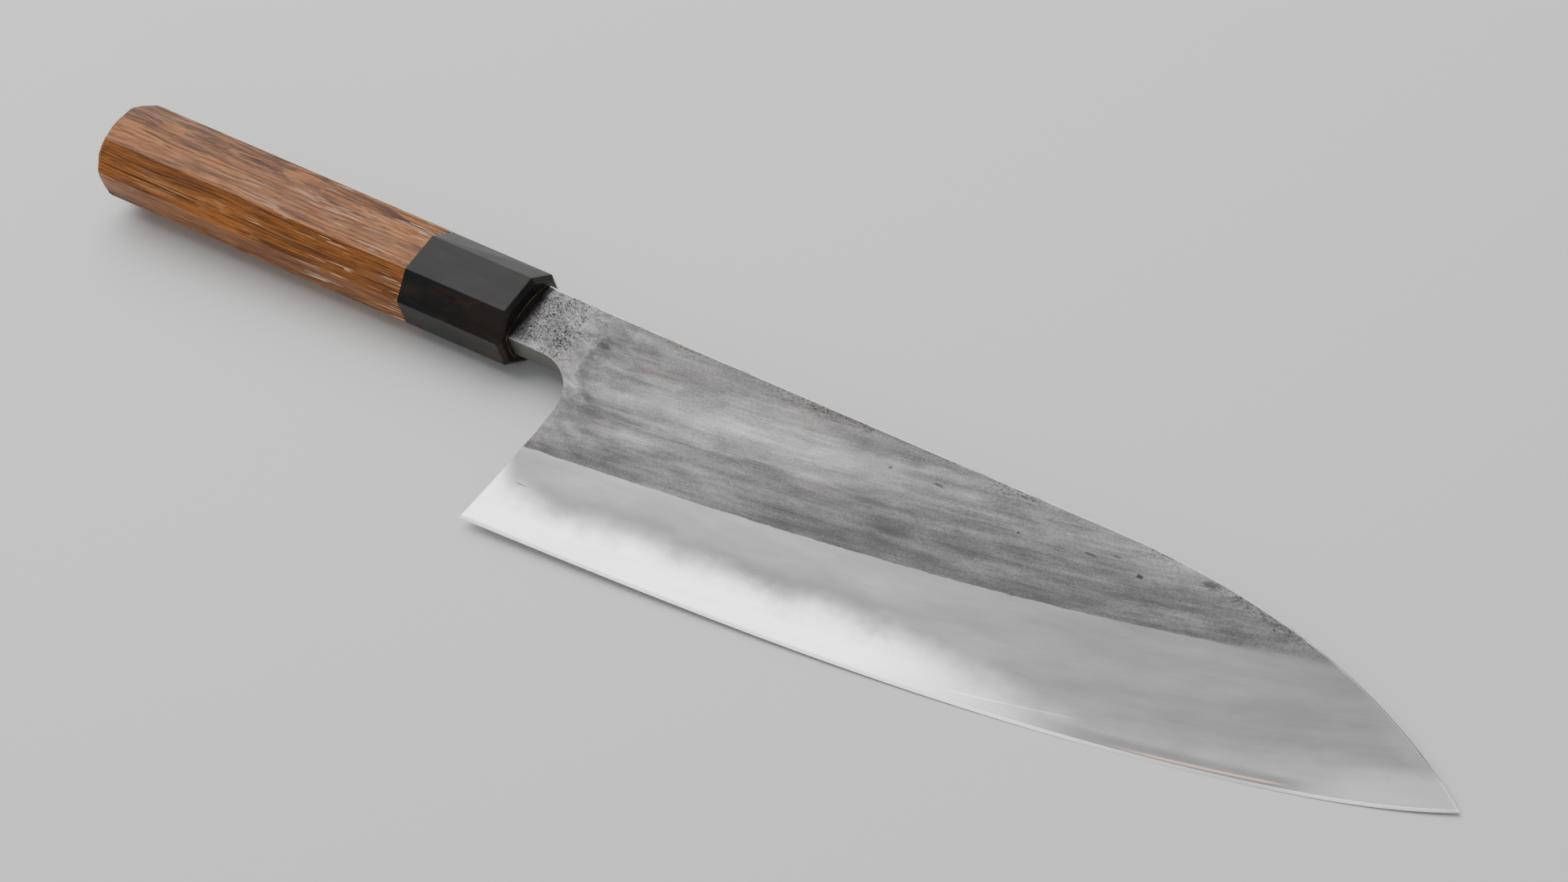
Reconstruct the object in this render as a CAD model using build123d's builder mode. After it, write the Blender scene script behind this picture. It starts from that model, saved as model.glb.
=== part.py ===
from build123d import *
from math import cos, radians, sin, tan
import os

os.makedirs("parts", exist_ok=True)

# A laminated chef knife with a glued-in octagonal handle, lying on its left side, in millimetres.
# The blade points along +X, its back is towards +Y and its cutting edge towards -Y.
# Local measures count from the hub, the point on the handle's axis at the ferrule's front face.
# The model's origin is the bottom centre of the whole knife's box.

# Handle: an octagon with flats on its four main sides, which narrows evenly from butt to ferrule
handle_length = 130.0
ferrule_length = 31.0
butt_height = 23.7
butt_thickness = 19.9
facet_width = 22.14
facet_angle = 47.8
side_taper = 0.23
front_chamfer = 1.0
butt_chamfer = 1.1

# Joint between the handle and the tang
dowel_radius = 6.3
dowel_end = -112.0
slot_end = -106.0
slot_height = 9.4
slot_thickness = 4.8
ferrule_wall = 6.0
seal_middle_y = 0.4
seal_corner_height = 17.6
seal_corner_thickness = 7.8
seal_end_bulge = 0.7
seal_side_bulge = 1.7

# Blade outline: a straight back that drops to the tip, and an edge that rises to meet it
back_y = 8.8
neck_y = -8.0
choil_radius = 12.3
choil_x = 22.3
choil_foot_y = -27.0
heel_x = 18.7
heel_y = -53.0
tip_x = 256.4
drop_start = 158.0
drop_amounts = {2: 21.5, 4: 6.3}
rise_amounts = {1: 10.0, 3: 21.0, 16: 3.0}

# Tang outline
neck_end = -3.0
tang_start = -6.0
tang_end = -104.0
tang_root_height = 8.8
tang_tip_height = 6.0

# Blade thickness: it falls evenly from the shoulder to the tip, and swells from the shoulder to the neck
shoulder_x = 32.0
shoulder_thickness = 5.0
tip_thickness = 1.5
neck_swell = 1.3
tang_root_thickness = 4.2
tang_tip_thickness = 2.6
core_shoulder_thickness = 2.4
core_tip_thickness = 0.5
core_tang_thickness = 1.2

# Grinds: a wide bevel that broadens towards the tip, and a narrow cutting bevel along the edge
bevel_heel_width = 21.2
bevel_tip_width = 35.6
bevel_foot_half = 0.18
cutting_bevel_width = 0.8
edge_half = 0.04
edge_shares = [0.12, 0.27, 0.42, 0.57, 0.7, 0.8, 0.88, 0.94, 0.98]

# The middle of the whole knife's box, seen from the hub, sets where the hub stands
hub_x = (handle_length - tip_x) / 2
hub_y = -(butt_height / 2 + heel_y) / 2
hub_z = butt_thickness / 2
side = Plane(origin=(hub_x, hub_y, hub_z))
above = Plane(origin=(hub_x, hub_y, hub_z), x_dir=(1, 0, 0), z_dir=(0, -1, 0))


def across(x):
    # The plane square to the handle's axis, x in front of the hub
    return Plane(origin=(hub_x + x, hub_y, hub_z), x_dir=(0, 1, 0), z_dir=(1, 0, 0))


def lengthwise(angle):
    # A plane along the handle's axis, turned about it so that its own y points at the angle from +Y
    turn = radians(angle)
    return Plane(origin=(hub_x, hub_y, hub_z), x_dir=(1, 0, 0), z_dir=(0, -sin(turn), cos(turn)))


def between_flats(width):
    # The outline between two opposite flats of the handle, from the butt to the ferrule's front
    butt = width / 2
    front = butt - handle_length * tan(radians(side_taper))
    return [(-handle_length, butt), (-handle_length, -butt), (0, -front), (0, front)]


def edge_share(x):
    return (x - heel_x) / (tip_x - heel_x)


def edge_x(share):
    return heel_x + (tip_x - heel_x) * share


def edge_y(x):
    share = edge_share(x)
    return heel_y + sum(amount * share**power for power, amount in rise_amounts.items())


def back_drop_y(x):
    share = (x - drop_start) / (tip_x - drop_start)
    return back_y - sum(amount * share**power for power, amount in drop_amounts.items())


def even_half(x, shoulder, tip):
    return (shoulder + (tip - shoulder) * (x - shoulder_x) / (tip_x - shoulder_x)) / 2


def blade_half(x):
    swell = neck_swell * (max(shoulder_x - x, 0) / shoulder_x) ** 2
    return even_half(x, shoulder_thickness, tip_thickness) + swell / 2


def bevel_width(x):
    return bevel_heel_width + (bevel_tip_width - bevel_heel_width) * edge_share(x)


def wide_bevel(x):
    # Distance of the bevel's top above the edge, and half the thickness at its top and foot
    return bevel_width(x), blade_half(x), bevel_foot_half


def cutting_bevel(x):
    slope = (blade_half(x) - bevel_foot_half) / bevel_width(x)
    return cutting_bevel_width, bevel_foot_half + cutting_bevel_width * slope, edge_half


def grind_section(x, bevel):
    # What the grinder takes off the upper face in the plane at x, as four corners
    width, top, foot = bevel(x)
    slope = (top - foot) / width
    over = 0.6 * width
    under = foot / slope
    y = edge_y(x)
    high = top + slope * over + 4
    return [(y + width + over, top + slope * over), (y + width + over, high), (y - under, high), (y - under, 0)]


def grinder(bevel):
    # A solid of all that one grind takes off the upper face, from behind the heel to past the tip
    with BuildPart() as cut:
        for share in [-0.05] + edge_shares + [1.02]:
            with BuildSketch(across(edge_x(share))):
                Polygon(*grind_section(edge_x(share), bevel), align=None)
        loft()
    return cut.part


wide_cut = grinder(wide_bevel)
narrow_cut = grinder(cutting_bevel)

# The whole blade in one piece, with its neck and tang, before it is parted into its three layers
with BuildPart() as blade:
    with BuildSketch(side):
        with BuildLine():
            neck_line = Line((neck_end, neck_y), (choil_x - choil_radius, neck_y))
            choil = TangentArc(neck_line @ 1, (choil_x, neck_y - choil_radius), tangent=neck_line % 1)
            throat = Line(choil @ 1, (choil_x, choil_foot_y))
            heel = Spline(throat @ 1, (heel_x, heel_y), tangents=[(0, -1), (-0.2, -1)])
            rise = [(edge_x(share), edge_y(edge_x(share))) for share in edge_shares + [1.0]]
            edge = Spline(heel @ 1, *rise)
            drop = [tip_x + (drop_start - tip_x) * i / 5 for i in range(1, 6)]
            back_curve = Spline(edge @ 1, *[(x, back_drop_y(x)) for x in drop])
            Polyline(
                back_curve @ 1,
                (neck_end, back_y),
                (tang_start, tang_root_height / 2),
                (tang_end, tang_tip_height / 2),
                (tang_end, -tang_tip_height / 2),
                (tang_start, -tang_root_height / 2),
                (neck_end, neck_y),
            )
        make_face()
    extrude(amount=shoulder_thickness, both=True)
    with BuildSketch(above):
        with BuildLine():
            swell_xs = [neck_end + (shoulder_x - neck_end) * i / 4 for i in range(5)]
            swell = Spline(*[(x, blade_half(x)) for x in swell_xs])
            Polyline(
                swell @ 1,
                (tip_x + 1, blade_half(tip_x + 1)),
                (tip_x + 1, 0),
                (tang_end - 1, 0),
                (tang_end - 1, tang_tip_thickness / 2),
                (tang_start, tang_root_thickness / 2),
                swell @ 0,
            )
        make_face()
        mirror(about=Plane.XZ)
    extrude(amount=-heel_y * 2, both=True, mode=Mode.INTERSECT)
    add(wide_cut, mode=Mode.SUBTRACT)
    mirror(wide_cut, about=side, mode=Mode.SUBTRACT)
    add(narrow_cut, mode=Mode.SUBTRACT)
    mirror(narrow_cut, about=side, mode=Mode.SUBTRACT)

# Hard core steel, which carries the edge
with BuildPart() as core_steel:
    add(blade.part)
    with BuildSketch(above):
        with BuildLine():
            Polyline(
                (tang_end - 1, 0),
                (tang_end - 1, core_tang_thickness / 2),
                (tang_start, core_tang_thickness / 2),
                (neck_end, core_shoulder_thickness / 2),
                (shoulder_x, core_shoulder_thickness / 2),
                (tip_x + 1, core_tip_thickness / 2),
                (tip_x + 1, 0),
                close=True,
            )
        make_face()
        mirror(about=Plane.XZ)
    extrude(amount=-heel_y * 2, both=True, mode=Mode.INTERSECT)
core_steel.part.label = "core_steel"
export_step(core_steel.part, "parts/core_steel.step")

# Soft-iron claddings, one on each face
with BuildPart() as claddings:
    add(blade.part)
    add(core_steel.part, mode=Mode.SUBTRACT)

with BuildPart() as cladding_right:
    add(claddings.part.solids().sort_by(Axis.Z)[-1])
cladding_right.part.label = "cladding_right"
export_step(cladding_right.part, "parts/cladding_right.step")

with BuildPart() as cladding_left:
    add(claddings.part.solids().sort_by(Axis.Z)[0])
cladding_left.part.label = "cladding_left"
export_step(cladding_left.part, "parts/cladding_left.step")

# Outline of the neck's slot and its filling: a rectangle with bulging sides
with BuildSketch(across(0)) as seal_outline:
    with BuildLine():
        back_end = seal_middle_y + seal_corner_height / 2
        front_end = seal_middle_y - seal_corner_height / 2
        corner = seal_corner_thickness / 2
        back_arc = ThreePointArc((back_end, -corner), (back_end + seal_end_bulge, 0), (back_end, corner))
        right_arc = ThreePointArc(back_arc @ 1, (seal_middle_y, corner + seal_side_bulge), (front_end, corner))
        front_arc = ThreePointArc(right_arc @ 1, (front_end - seal_end_bulge, 0), (front_end, -corner))
        ThreePointArc(front_arc @ 1, (seal_middle_y, -corner - seal_side_bulge), back_arc @ 0)
    make_face()

# The handle's outside as one tapered octagon, before it is parted into wood and horn
with BuildPart() as grip:
    with BuildSketch(lengthwise(0)):
        Polygon(*between_flats(butt_height), align=None)
    extrude(amount=butt_thickness, both=True)
    for angle, width in [(90, butt_thickness), (facet_angle, facet_width), (-facet_angle, facet_width)]:
        with BuildSketch(lengthwise(angle)):
            Polygon(*between_flats(width), align=None)
        extrude(amount=butt_height, both=True, mode=Mode.INTERSECT)
    chamfer(grip.faces().sort_by(Axis.X)[0].edges(), butt_chamfer)
    chamfer(grip.faces().sort_by(Axis.X)[-1].edges(), front_chamfer)

# Octagonal wooden handle, bored from the front for the dowel
with BuildPart() as handle_body:
    add(grip.part)
    split(bisect_by=across(-ferrule_length), keep=Keep.BOTTOM)
    with BuildSketch(across(dowel_end)):
        Circle(dowel_radius)
    extrude(amount=-dowel_end, mode=Mode.SUBTRACT)
handle_body.part.label = "handle_body"
export_step(handle_body.part, "parts/handle_body.step")

# Horn ferrule, bored from behind up to a front wall that is slotted for the neck
with BuildPart() as ferrule:
    add(grip.part)
    split(bisect_by=across(-ferrule_length), keep=Keep.TOP)
    with BuildSketch(across(-ferrule_wall)):
        Circle(dowel_radius)
    extrude(amount=-ferrule_length, mode=Mode.SUBTRACT)
    extrude(seal_outline.sketch, amount=-ferrule_wall, mode=Mode.SUBTRACT)
ferrule.part.label = "ferrule"
export_step(ferrule.part, "parts/ferrule.step")

# Black resin that fills the ferrule's slot round the neck
with BuildPart() as neck_seal:
    extrude(seal_outline.sketch, amount=-ferrule_wall)
    add(blade.part, mode=Mode.SUBTRACT)
neck_seal.part.label = "neck_seal"
export_step(neck_seal.part, "parts/neck_seal.step")

# Hardwood dowel, slotted for the tang
with BuildPart() as tang_dowel:
    with BuildSketch(across(dowel_end)):
        Circle(dowel_radius)
    extrude(amount=-dowel_end - ferrule_wall)
    with BuildSketch(across(-ferrule_wall)):
        Rectangle(slot_height, slot_thickness)
    extrude(amount=slot_end + ferrule_wall, mode=Mode.SUBTRACT)
tang_dowel.part.label = "tang_dowel"
export_step(tang_dowel.part, "parts/tang_dowel.step")

# Cured glue that fills the rest of the slot round the tang
with BuildPart() as tang_adhesive:
    with BuildSketch(across(-ferrule_wall)):
        Rectangle(slot_height, slot_thickness)
    extrude(amount=slot_end + ferrule_wall)
    add(blade.part, mode=Mode.SUBTRACT)
tang_adhesive.part.label = "tang_adhesive"
export_step(tang_adhesive.part, "parts/tang_adhesive.step")
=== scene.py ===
import math
import bmesh
import bpy
from mathutils import Matrix, Quaternion, Vector, noise


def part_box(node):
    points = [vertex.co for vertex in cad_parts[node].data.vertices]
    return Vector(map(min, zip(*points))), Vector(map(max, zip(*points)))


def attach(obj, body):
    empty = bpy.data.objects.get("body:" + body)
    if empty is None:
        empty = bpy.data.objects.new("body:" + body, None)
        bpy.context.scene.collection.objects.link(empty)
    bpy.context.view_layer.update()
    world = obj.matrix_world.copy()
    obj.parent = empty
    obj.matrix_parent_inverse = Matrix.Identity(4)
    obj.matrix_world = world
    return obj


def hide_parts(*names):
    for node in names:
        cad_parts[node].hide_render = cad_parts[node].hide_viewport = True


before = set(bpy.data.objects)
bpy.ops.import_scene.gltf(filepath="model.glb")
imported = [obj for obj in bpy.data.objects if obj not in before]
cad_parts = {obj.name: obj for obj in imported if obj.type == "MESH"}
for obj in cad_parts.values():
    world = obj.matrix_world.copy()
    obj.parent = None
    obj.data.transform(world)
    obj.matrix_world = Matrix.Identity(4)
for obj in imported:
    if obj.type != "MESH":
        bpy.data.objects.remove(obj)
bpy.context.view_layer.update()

# A laminated chef knife lying on its side. Measures below are in millimetres from the hub,
# the point on the handle's axis at the ferrule's front face: x towards the tip, y towards the back.
mm = 0.001
ferruleLow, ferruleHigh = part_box("ferrule")
hub = Vector((ferruleHigh.x, (ferruleLow.y + ferruleHigh.y) / 2, (ferruleLow.z + ferruleHigh.z) / 2))

blade = {
    "backY": 8.8, "neckY": -8.0, "choilRadius": 12.3, "choilX": 22.3, "throatY": -27.0,
    "heelX": 18.7, "heelY": -53.0, "heelCurve": 1.3, "tipX": 256.4, "dropStart": 158.0,
    "drop": {2: 21.5, 4: 6.3}, "rise": {1: 10.0, 3: 21.0, 16: 3.0},  # power and amount of each curve
    "shoulderX": 32.0, "shoulderHalf": 2.5, "tipHalf": 0.75, "neckSwell": 0.65,
    "bevelHeel": 21.2, "bevelTip": 35.6, "bevelFoot": 0.18, "cuttingBevel": 0.8, "edgeHalf": 0.04,
    "coreShoulder": 1.2, "coreTip": 0.25, "coreTang": 0.6,
    "neckEnd": -3.0, "tangStart": -6.0, "tangEnd": -104.0,
    "tangRootHeight": 8.8, "tangTipHeight": 6.0, "tangRootHalf": 2.1, "tangTipHalf": 1.3,
    "choilTopX": 26.0, "heelTopX": 46.0,  # where the lines over the face from choil and heel meet the back
    "grindStart": 5.0,   # the wide bevel and the forged waves begin here
    "grindBlend": 0.03,  # softness of the line between the wide bevel and the forged flat
    "forgeWave": 0.05,   # unevenness of the forged faces
    "forgeWaves": ((0.05, 0.11, 1.3), (0.14, 0.3, 5.2)),  # steps along and across, and a place in the noise
    "coreWander": 0.10,  # how much the weld line wanders, as a share of the core
    "coreWaves": ((0.06, 3.7, 0), (0.17, 9.1, 0)), "wanderStart": 15.0,
    "waveRun": 10.0,     # the length over which both kinds of waves grow in
    "rimRound": 0.3,     # rounding of the back and choil
    "leastCladding": 0.02, "alwaysClad": 60.0,  # past this place, thinner cladding than this is left off
}
# How finely the layers of the blade are cut
cuts = {
    "tangLines": 10, "neckLines": 13, "choilLines": 25, "heelLines": 45, "edgeLines": 300,
    "faceRows": 84, "coreRows": 24, "rimRows": 4, "hiddenRows": 4, "bevelRows": 3, "wallRows": 3,
    "halvings": 22, "weldGap": 2e-6, "leastEdge": 1e-6, "sharpAngle": 35,
    "wallDrop": 0.75, "rimDrop": 0.9,  # below the face, in roundings, where the wall starts and the rim ends
}


def mix(a, b, t):
    return a + (b - a) * t


def place(x, y, z):
    return hub + Vector((x, y, z)) * mm


def edgeShare(x):
    return (x - blade["heelX"]) / (blade["tipX"] - blade["heelX"])


def edgeY(x):
    share = max(edgeShare(x), 0)
    return blade["heelY"] + sum(amount * share ** power for power, amount in blade["rise"].items())


def backY(x):
    share = max((x - blade["dropStart"]) / (blade["tipX"] - blade["dropStart"]), 0)
    return blade["backY"] - sum(amount * share ** power for power, amount in blade["drop"].items())


def evenly(x, shoulder, tip):
    return mix(shoulder, tip, (x - blade["shoulderX"]) / (blade["tipX"] - blade["shoulderX"]))


def unevenness(x, y, waves):
    # A slow wave, and a faster one half as strong
    slow, fast = (noise.noise(Vector((x * run, y * rise, layer))) for run, rise, layer in waves)
    return slow + 0.5 * fast


def flatHalf(x):
    # Half the thickness between the forged flats, which narrows to the tang behind the neck
    if x < blade["neckEnd"]:
        down = (x - blade["tangEnd"]) / (blade["tangStart"] - blade["tangEnd"])
        root = mix(blade["tangTipHalf"], blade["tangRootHalf"], down)
        step = min(max((x - blade["tangStart"]) / (blade["neckEnd"] - blade["tangStart"]), 0), 1)
        return mix(root, flatHalf(blade["neckEnd"]), step)
    swell = blade["neckSwell"] * (max(blade["shoulderX"] - x, 0) / blade["shoulderX"]) ** 2
    return evenly(x, blade["shoulderHalf"], blade["tipHalf"]) + swell


def coreHalf(x):
    if x < blade["tangStart"]:
        return blade["coreTang"]
    if x < blade["neckEnd"]:
        step = (x - blade["tangStart"]) / (blade["neckEnd"] - blade["tangStart"])
        return mix(blade["coreTang"], blade["coreShoulder"], step)
    half = evenly(max(x, blade["shoulderX"]), blade["coreShoulder"], blade["coreTip"])
    wander = unevenness(x, 1, blade["coreWaves"])
    grown = min(max(x - blade["wanderStart"], 0) / blade["waveRun"], 1)
    return half * (1 + blade["coreWander"] * wander * grown)


def bevelWidth(x):
    return mix(blade["bevelHeel"], blade["bevelTip"], edgeShare(x))


def faceHalf(x, y):
    # Half the blade's thickness at a point of its side: the forged flat, the wide bevel or the cutting bevel
    flat = flatHalf(x)
    if x < blade["grindStart"]:
        return flat
    above, width = y - edgeY(x), bevelWidth(x)
    slope = (flat - blade["bevelFoot"]) / width
    bevel = blade["bevelFoot"] + slope * above
    if above < blade["cuttingBevel"]:
        top = blade["bevelFoot"] + slope * blade["cuttingBevel"]
        return mix(blade["edgeHalf"], top, max(above, 0) / blade["cuttingBevel"])
    grown = min((x - blade["grindStart"]) / blade["waveRun"], 1)
    flat += blade["forgeWave"] * unevenness(x, y, blade["forgeWaves"]) * grown
    blend = blade["grindBlend"]
    gap = min(max(0.5 + (bevel - flat) / (2 * blend), 0), 1)
    return mix(bevel, flat, gap) - blend * gap * (1 - gap)


def bladeColumns():
    # Lines across the blade from its lower outline to its back, from the tang's end to the tip
    columns = []
    tangRun = blade["tangStart"] - blade["tangEnd"]
    for i in range(cuts["tangLines"]):
        t = i / (cuts["tangLines"] - 1)
        x = blade["tangEnd"] + tangRun * t
        half = mix(blade["tangTipHeight"], blade["tangRootHeight"], t) / 2
        columns.append(((x, -half), (x, half)))
    middle = (blade["choilX"] - blade["choilRadius"], blade["neckY"] - blade["choilRadius"])
    for i in range(cuts["neckLines"]):
        x = mix(blade["neckEnd"], middle[0], i / cuts["neckLines"])
        columns.append(((x, blade["neckY"]), (x, blade["backY"])))
    for i in range(cuts["choilLines"]):
        t = i / (cuts["choilLines"] - 1)
        turn = math.radians(90 - 90 * t)
        x = middle[0] + blade["choilRadius"] * math.cos(turn)
        y = middle[1] + blade["choilRadius"] * math.sin(turn)
        columns.append(((x, y), (mix(middle[0], blade["choilTopX"], t), blade["backY"])))
    for i in range(1, cuts["heelLines"] + 1):
        t = i / cuts["heelLines"]
        y = mix(middle[1], blade["heelY"], t)
        low = max((blade["throatY"] - y) / (blade["throatY"] - blade["heelY"]), 0)
        x = blade["choilX"] - (blade["choilX"] - blade["heelX"]) * low ** blade["heelCurve"]
        columns.append(((x, y), (mix(blade["choilTopX"], blade["heelTopX"], t), blade["backY"])))
    for i in range(1, cuts["edgeLines"] + 1):
        t = i / cuts["edgeLines"]
        x, topX = mix(blade["heelX"], blade["tipX"], t), mix(blade["heelTopX"], blade["tipX"], t)
        columns.append(((x, edgeY(x)), (topX, backY(topX))))
    return columns


def pointOn(column, share):
    (x0, y0), (x1, y1) = column
    return mix(x0, x1, share), mix(y0, y1, share)


def lengthOf(column):
    (x0, y0), (x1, y1) = column
    return max(math.hypot(x1 - x0, y1 - y0), 1e-6)


def splitShare(column):
    # How far up a line the weld between core and cladding comes out of the face; 0 is on the outline
    if coreHalf(column[0][0]) <= faceHalf(*column[0]):
        return 0.0
    low, high = 0.0, 1.0
    for _ in range(cuts["halvings"]):
        middle = (low + high) / 2
        x, y = pointOn(column, middle)
        low, high = (middle, high) if faceHalf(x, y) < coreHalf(x) else (low, middle)
    return high


def rimSteps(column):
    # Shares of a line, and drops in height, that round the corner between a face and the outline
    span = lengthOf(column)
    radius = min(blade["rimRound"], 0.8 * faceHalf(*column[1]), span / 4)
    steps = []
    for i in range(cuts["rimRows"] + 1):
        turn = math.radians(90 * i / cuts["rimRows"])
        steps.append((radius * (1 - math.cos(turn)) / span, radius * (1 - math.sin(turn))))
    return steps


def claddingLine(column):
    # One closed line round the right cladding: up the choil wall, over the face, down the back, home inside
    split = splitShare(column)
    rim = rimSteps(column)
    x, y = pointOn(column, split)
    core = coreHalf(x)
    line = [(x, y, core)]
    for share, drop in rim:
        at = pointOn(column, split + share * (1 - split) if split else share)
        top = faceHalf(*at)
        line.append((*at, top if split else max(top - drop, core)))
    first = split + (rim[-1][0] * (1 - split) if split else rim[-1][0])
    last = 1 - rim[-1][0]
    for i in range(1, cuts["faceRows"]):
        at = pointOn(column, mix(first, last, i / cuts["faceRows"]))
        line.append((*at, faceHalf(*at)))
    for share, drop in reversed(rim):
        at = pointOn(column, 1 - share)
        line.append((*at, max(faceHalf(*at) - drop, coreHalf(at[0]))))
    for i in range(cuts["hiddenRows"]):
        at = pointOn(column, mix(1, split, i / cuts["hiddenRows"]))
        line.append((*at, coreHalf(at[0])))
    return line


def coreLine(column):
    # One closed line round the core, from the middle of the outline and over both faces
    split = splitShare(column)
    start = column[0]
    wall = min(faceHalf(*start), coreHalf(start[0]))
    half = [(*start, wall * i / cuts["wallRows"]) for i in range(cuts["wallRows"])]
    narrow = min(blade["cuttingBevel"] / lengthOf(column), split / 2)
    for i in range(cuts["bevelRows"]):
        at = pointOn(column, narrow * i / cuts["bevelRows"])
        half.append((*at, faceHalf(*at) if split else wall))
    for i in range(cuts["coreRows"] + 1):
        at = pointOn(column, mix(narrow, split, i / cuts["coreRows"]))
        half.append((*at, min(faceHalf(*at), coreHalf(at[0]))))
    for i in range(1, cuts["hiddenRows"] + 1):
        at = pointOn(column, mix(split, 1, i / cuts["hiddenRows"]))
        half.append((*at, min(coreHalf(at[0]), faceHalf(*at))))
    half.append((*column[1], 0.0))
    return half + [(x, y, -z) for x, y, z in reversed(half[1:-1])]


def skin(name, columns, lineOf, faceSign=1):
    # Wraps a grid round the closed lines of a blade layer and closes its two ends
    lines = [lineOf(column) for column in columns]
    rows = len(lines[0]) + 1
    bm = bmesh.new()
    bmesh.ops.create_grid(bm, x_segments=len(lines) - 1, y_segments=rows - 1, size=1)
    for v in bm.verts:
        i = round((v.co.x + 1) / 2 * (len(lines) - 1))
        j = round((v.co.y + 1) / 2 * (rows - 1)) % (rows - 1)
        x, y, z = lines[i][j]
        v.co = place(x, y, z * faceSign)
    bmesh.ops.remove_doubles(bm, verts=bm.verts, dist=cuts["weldGap"])
    bmesh.ops.dissolve_degenerate(bm, dist=cuts["leastEdge"], edges=bm.edges)
    bmesh.ops.holes_fill(bm, edges=[e for e in bm.edges if e.is_boundary], sides=0)
    bmesh.ops.recalc_face_normals(bm, faces=bm.faces)
    return finishMesh(name, bm, cuts["sharpAngle"])


def finishMesh(name, bm, sharpAngle):
    mesh = bpy.data.meshes.new(name)
    bm.to_mesh(mesh)
    bm.free()
    mesh.shade_smooth()
    mesh.set_sharp_from_angle(angle=math.radians(sharpAngle))
    piece = bpy.data.objects.new(name, mesh)
    bpy.context.scene.collection.objects.link(piece)
    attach(piece, "root")
    return piece


def bladeMaps(piece):
    # Stores where each point lies on the blade, for the finishes to follow
    mesh = piece.data
    names = ("alongBlade", "overEdge", "overGrind", "underBack", "outlineWall", "outlineRim")
    for name in names:
        mesh.attributes.new(name, "FLOAT", "POINT")
    layers = [mesh.attributes[name] for name in names]
    for i, v in enumerate(mesh.vertices):
        x, y, z = (v.co - hub) / mm
        over = y - edgeY(x)
        drop = faceHalf(x, y) - abs(z)
        wall = 1.0 if drop > cuts["wallDrop"] * blade["rimRound"] else 0.0
        rim = 1.0 if 0.01 < drop < cuts["rimDrop"] * blade["rimRound"] else 0.0
        for layer, value in zip(layers, (x, over, over - bevelWidth(x), backY(x) - y, wall, rim)):
            layer.data[i].value = value


def isClad(column):
    low, high = column
    return faceHalf(*high) > coreHalf(high[0]) + blade["leastCladding"] or low[0] < blade["alwaysClad"]


columns = bladeColumns()
clad = [column for column in columns if isClad(column)]
coreSteel = skin("core_sheet", columns, coreLine)
claddingRight = skin("right_face", clad, claddingLine)
claddingLeft = skin("left_face", clad, claddingLine, -1)
bladeNodes = {"core_steel": coreSteel, "cladding_right": claddingRight, "cladding_left": claddingLeft}
for node, piece in bladeNodes.items():
    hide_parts(node)
    bladeMaps(piece)
    print(piece.name, len(piece.data.polygons), "faces")


grip = {
    "edge": 0.22,       # rounding of the crisp edges
    "buttEdge": 0.85,   # rounding round the butt
    "buttEnd": -130.0, "buttRun": 4.5, "buttIn": 0.5, "buttCuts": 7,  # the sanded roll towards the butt
    "buttDome": 0.35, "buttBow": 0.95, "bowCuts": 12,  # how far flats and corners fall back at the end
    "halfHeight": 11.83, "halfThickness": 9.93,  # of the butt
    "flatRadius": 11.2, "joint": -31.0,
    "boreY": 10.0, "boreZ": 6.4,  # edges nearer the axis than this belong to the bore and slot
    "pastEnds": (-200, 10),       # beyond both ends of the handle
    "crispAngle": 25, "sharpAngle": 50,
}


def crispEdges(bm, lowX, highX):
    # Outer edges between two places along the handle, but not where wood and horn meet flush
    found = []
    for edge in bm.edges:
        ends = [(v.co - hub) / mm for v in edge.verts]
        inBore = all(abs(end.y) < grip["boreY"] and abs(end.z) < grip["boreZ"] for end in ends)
        atJoint = all(abs(end.x - grip["joint"]) < 0.05 for end in ends)
        inRange = all(lowX < end.x < highX for end in ends)
        if edge.is_manifold and inRange and not inBore and not atJoint:
            if edge.calc_face_angle() > math.radians(grip["crispAngle"]):
                found.append(edge)
    return found


def cutButt(bm, start):
    # Cuts across the handle and out from its axis, so that the butt can curve
    for i in range(grip["buttCuts"]):
        across = place(start - grip["buttRun"] * 0.7 * i / grip["buttCuts"], 0, 0)
        everything = bm.verts[:] + bm.edges[:] + bm.faces[:]
        bmesh.ops.bisect_plane(bm, geom=everything, plane_co=across, plane_no=(1, 0, 0), dist=1e-7)
    for i in range(grip["bowCuts"]):
        turn = math.pi * (i + 0.5) / grip["bowCuts"]
        outward = (0, math.cos(turn), math.sin(turn))
        faces = [f for f in bm.faces if all(v.co.x < start * mm + hub.x for v in f.verts)]
        chosen = set(faces)
        edges = [e for e in bm.edges if any(f in chosen for f in e.link_faces)]
        corners = [v for v in bm.verts if any(f in chosen for f in v.link_faces)]
        bmesh.ops.bisect_plane(bm, geom=faces + edges + corners, plane_co=hub, plane_no=outward, dist=1e-7)


def rollButt(bm, start):
    # Draws the butt in and bows its end: the eight flats reach further back than the corners between them
    for v in bm.verts:
        x, y, z = (v.co - hub) / mm
        t = min((start - x) / grip["buttRun"], 1)
        radius = math.hypot(y, z)
        if t > 0 and radius > grip["boreZ"] + 0.1:
            share = radius / grip["flatRadius"]
            inward = grip["buttIn"] * (1 - math.sqrt(1 - t * t)) * share ** 5
            bow = (1 - math.cos(8 * math.atan2(y / grip["halfHeight"], z / grip["halfThickness"]))) / 2
            x += (grip["buttDome"] + grip["buttBow"] * bow) * share ** 3 * t * t
            v.co = place(x, y * (1 - inward / radius), z * (1 - inward / radius))


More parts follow.
